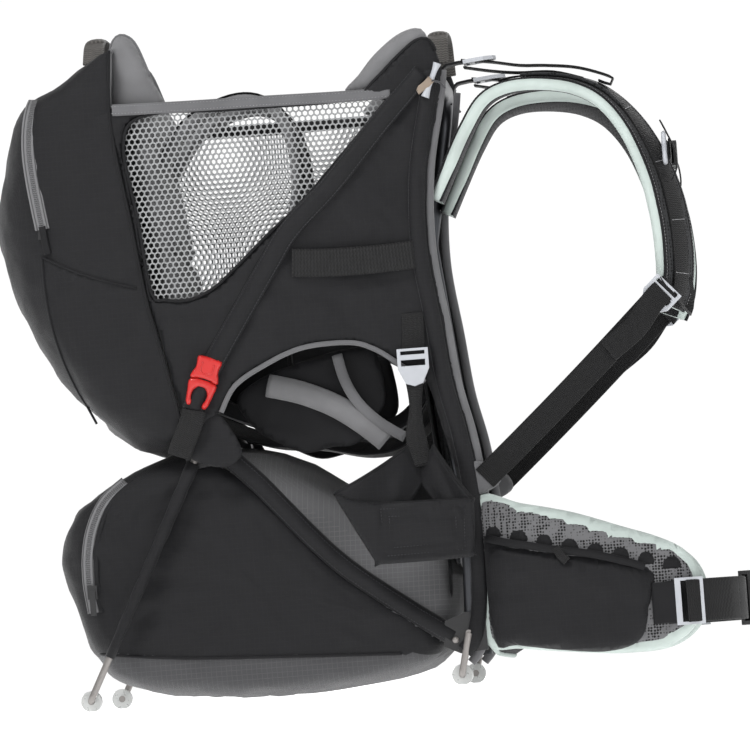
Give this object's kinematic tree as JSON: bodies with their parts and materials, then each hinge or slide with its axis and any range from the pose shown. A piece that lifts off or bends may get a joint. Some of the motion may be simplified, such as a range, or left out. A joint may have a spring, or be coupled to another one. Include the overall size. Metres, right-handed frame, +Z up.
{
  "type": "child carrier backpack",
  "caption": "Framed child carrier backpack standing on its open kickstand, with padded child seat, mesh windows, storage, stirrups, shoulder straps and hip belt.",
  "frame": {"origin": "on the floor, at the middle of the carrier's length and width", "axes": "+X the way the wearer walks, +Y the wearer's left, +Z up"},
  "size_m": [0.754, 0.3548, 0.7035],
  "materials": {
    "frame_tube": "satin, dark anodised tube",
    "steel_rod": "warm grey powder coat",
    "foot": "translucent soft plastic",
    "moulding": "fine texture",
    "black_fabric": "black ripstop nylon",
    "grey_fabric": "light grey padded lining",
    "mesh": "light grey open net",
    "foam": "black spacer mesh over foam with a pale mint edge",
    "webbing": "woven black webbing",
    "white_plastic": "light grey acetal",
    "red_plastic": "red acetal"
  },
  "bodies": {
    "carrier": {"back_frame": "frame_tube", "back_panel": "foam", "belt_sliders": "white_plastic", "belt_webbing_left": "webbing", "belt_webbing_right": "webbing", "child_backrest": "grey_fabric", "cockpit_wall_left": "black_fabric", "cockpit_wall_right": "black_fabric", "cover_toggles": "white_plastic", "frame_brackets": "moulding", "frame_crossbars": "frame_tube", "front_collar": "grey_fabric", "front_feet": "foot", "front_foot_rods": "steel_rod", "front_handle": "webbing", "harness_buckle": "black_fabric", "harness_straps": "grey_fabric", "headrest_wings": "grey_fabric", "hinge_blocks": "moulding", "hinge_bushes": "moulding", "hip_buckle_socket": "moulding", "hip_wing_left": "foam", "hip_wing_right": "foam", "load_lifter_webbing": "webbing", "lumbar_pad": "foam", "mesh_window_left": "mesh", "mesh_window_right": "mesh", "pocket_zip_tape": "grey_fabric", "rear_handle": "webbing", "rear_pod": "black_fabric", "red_buckle_sockets": "red_plastic", "seat_frame": "frame_tube", "seat_saddle": "grey_fabric", "shoulder_strap_left": "foam", "shoulder_strap_right": "foam", "shoulder_webbing_left": "webbing", "shoulder_webbing_right": "webbing", "side_grab_webbing": "webbing", "storage_bag": "black_fabric"},
    "kickstand": {"kickstand_rod": "steel_rod", "kickstand_feet": "foot", "storage_zip_tape": "grey_fabric"},
    "right_plug": {"red_buckle_plug_right": "red_plastic"},
    "left_plug": {"red_buckle_plug_left": "red_plastic"},
    "right_shoulder_lock": {"shoulder_ladder_lock_right": "white_plastic"},
    "left_shoulder_lock": {"shoulder_ladder_lock_left": "white_plastic"},
    "right_lifter_lock": {"lifter_ladder_lock_right": "white_plastic"},
    "left_lifter_lock": {"lifter_ladder_lock_left": "white_plastic"},
    "right_stirrup": {"stirrup_right": "webbing", "stirrup_slider_right": "white_plastic"},
    "left_stirrup": {"stirrup_left": "webbing", "stirrup_slider_left": "white_plastic"},
    "pocket_slider": {"pocket_zip_slider": "moulding"},
    "storage_slider": {"storage_zip_slider": "moulding"},
    "chest_strap": {"sternum_strap": "webbing"},
    "chest_plug": {"sternum_buckle_plug": "moulding"},
    "hip_plug": {"hip_buckle_plug": "moulding"}
  },
  "joints": [
    {"name": "kickstand_fold", "type": "hinge", "parent": "carrier", "child": "kickstand", "pos_m": [-0.18, 0, 0.254], "axis": [0, -1, 0], "range_deg": [0, 70], "deforming": ["storage_bag"]},
    {"name": "red_buckle_release_right", "type": "slide", "parent": "carrier", "child": "right_plug", "axis": [-0.361, 0, -0.9326], "range_m": [0, 0.028]},
    {"name": "red_buckle_release_left", "type": "slide", "parent": "carrier", "child": "left_plug", "axis": [-0.361, 0, -0.9326], "range_m": [0, 0.028]},
    {"name": "shoulder_lock_tilt_right", "type": "hinge", "parent": "carrier", "child": "right_shoulder_lock", "pos_m": [0.311, -0.1345, 0.386], "axis": [-0.6665, 0, 0.7455], "range_deg": [0, 25]},
    {"name": "lifter_lock_tilt_right", "type": "hinge", "parent": "carrier", "child": "right_lifter_lock", "pos_m": [0.131, -0.097, 0.641], "axis": [0, -1, 0], "range_deg": [0, 25]},
    {"name": "stirrup_swing_right", "type": "hinge", "parent": "carrier", "child": "right_stirrup", "pos_m": [0.05, -0.143, 0.343], "axis": [-1, 0, 0], "range_deg": [0, 45]},
    {"name": "shoulder_lock_tilt_left", "type": "hinge", "parent": "carrier", "child": "left_shoulder_lock", "pos_m": [0.311, 0.1345, 0.386], "axis": [0.6665, 0, -0.7455], "range_deg": [0, 25]},
    {"name": "lifter_lock_tilt_left", "type": "hinge", "parent": "carrier", "child": "left_lifter_lock", "pos_m": [0.131, 0.097, 0.641], "axis": [0, -1, 0], "range_deg": [0, 25]},
    {"name": "stirrup_swing_left", "type": "hinge", "parent": "carrier", "child": "left_stirrup", "pos_m": [0.05, 0.143, 0.343], "axis": [1, 0, 0], "range_deg": [0, 45]},
    {"name": "pocket_zip_pull", "type": "slide", "parent": "carrier", "child": "pocket_slider", "axis": [0, 0, 1], "range_m": [0, 0.11]},
    {"name": "storage_zip_pull", "type": "slide", "parent": "kickstand", "child": "storage_slider", "axis": [0.0599, 0, 0.9982], "range_m": [0, 0.08]},
    {"name": "chest_strap_height", "type": "slide", "parent": "carrier", "child": "chest_strap", "axis": [0.344, 0, -0.939], "range_m": [-0.015, 0.015]},
    {"name": "chest_buckle_release", "type": "slide", "parent": "chest_strap", "child": "chest_plug", "axis": [0, -1, 0], "range_m": [0, 0.018]},
    {"name": "hip_buckle_release", "type": "slide", "parent": "carrier", "child": "hip_plug", "axis": [0, -1, 0], "range_m": [0, 0.03]}
  ]
}
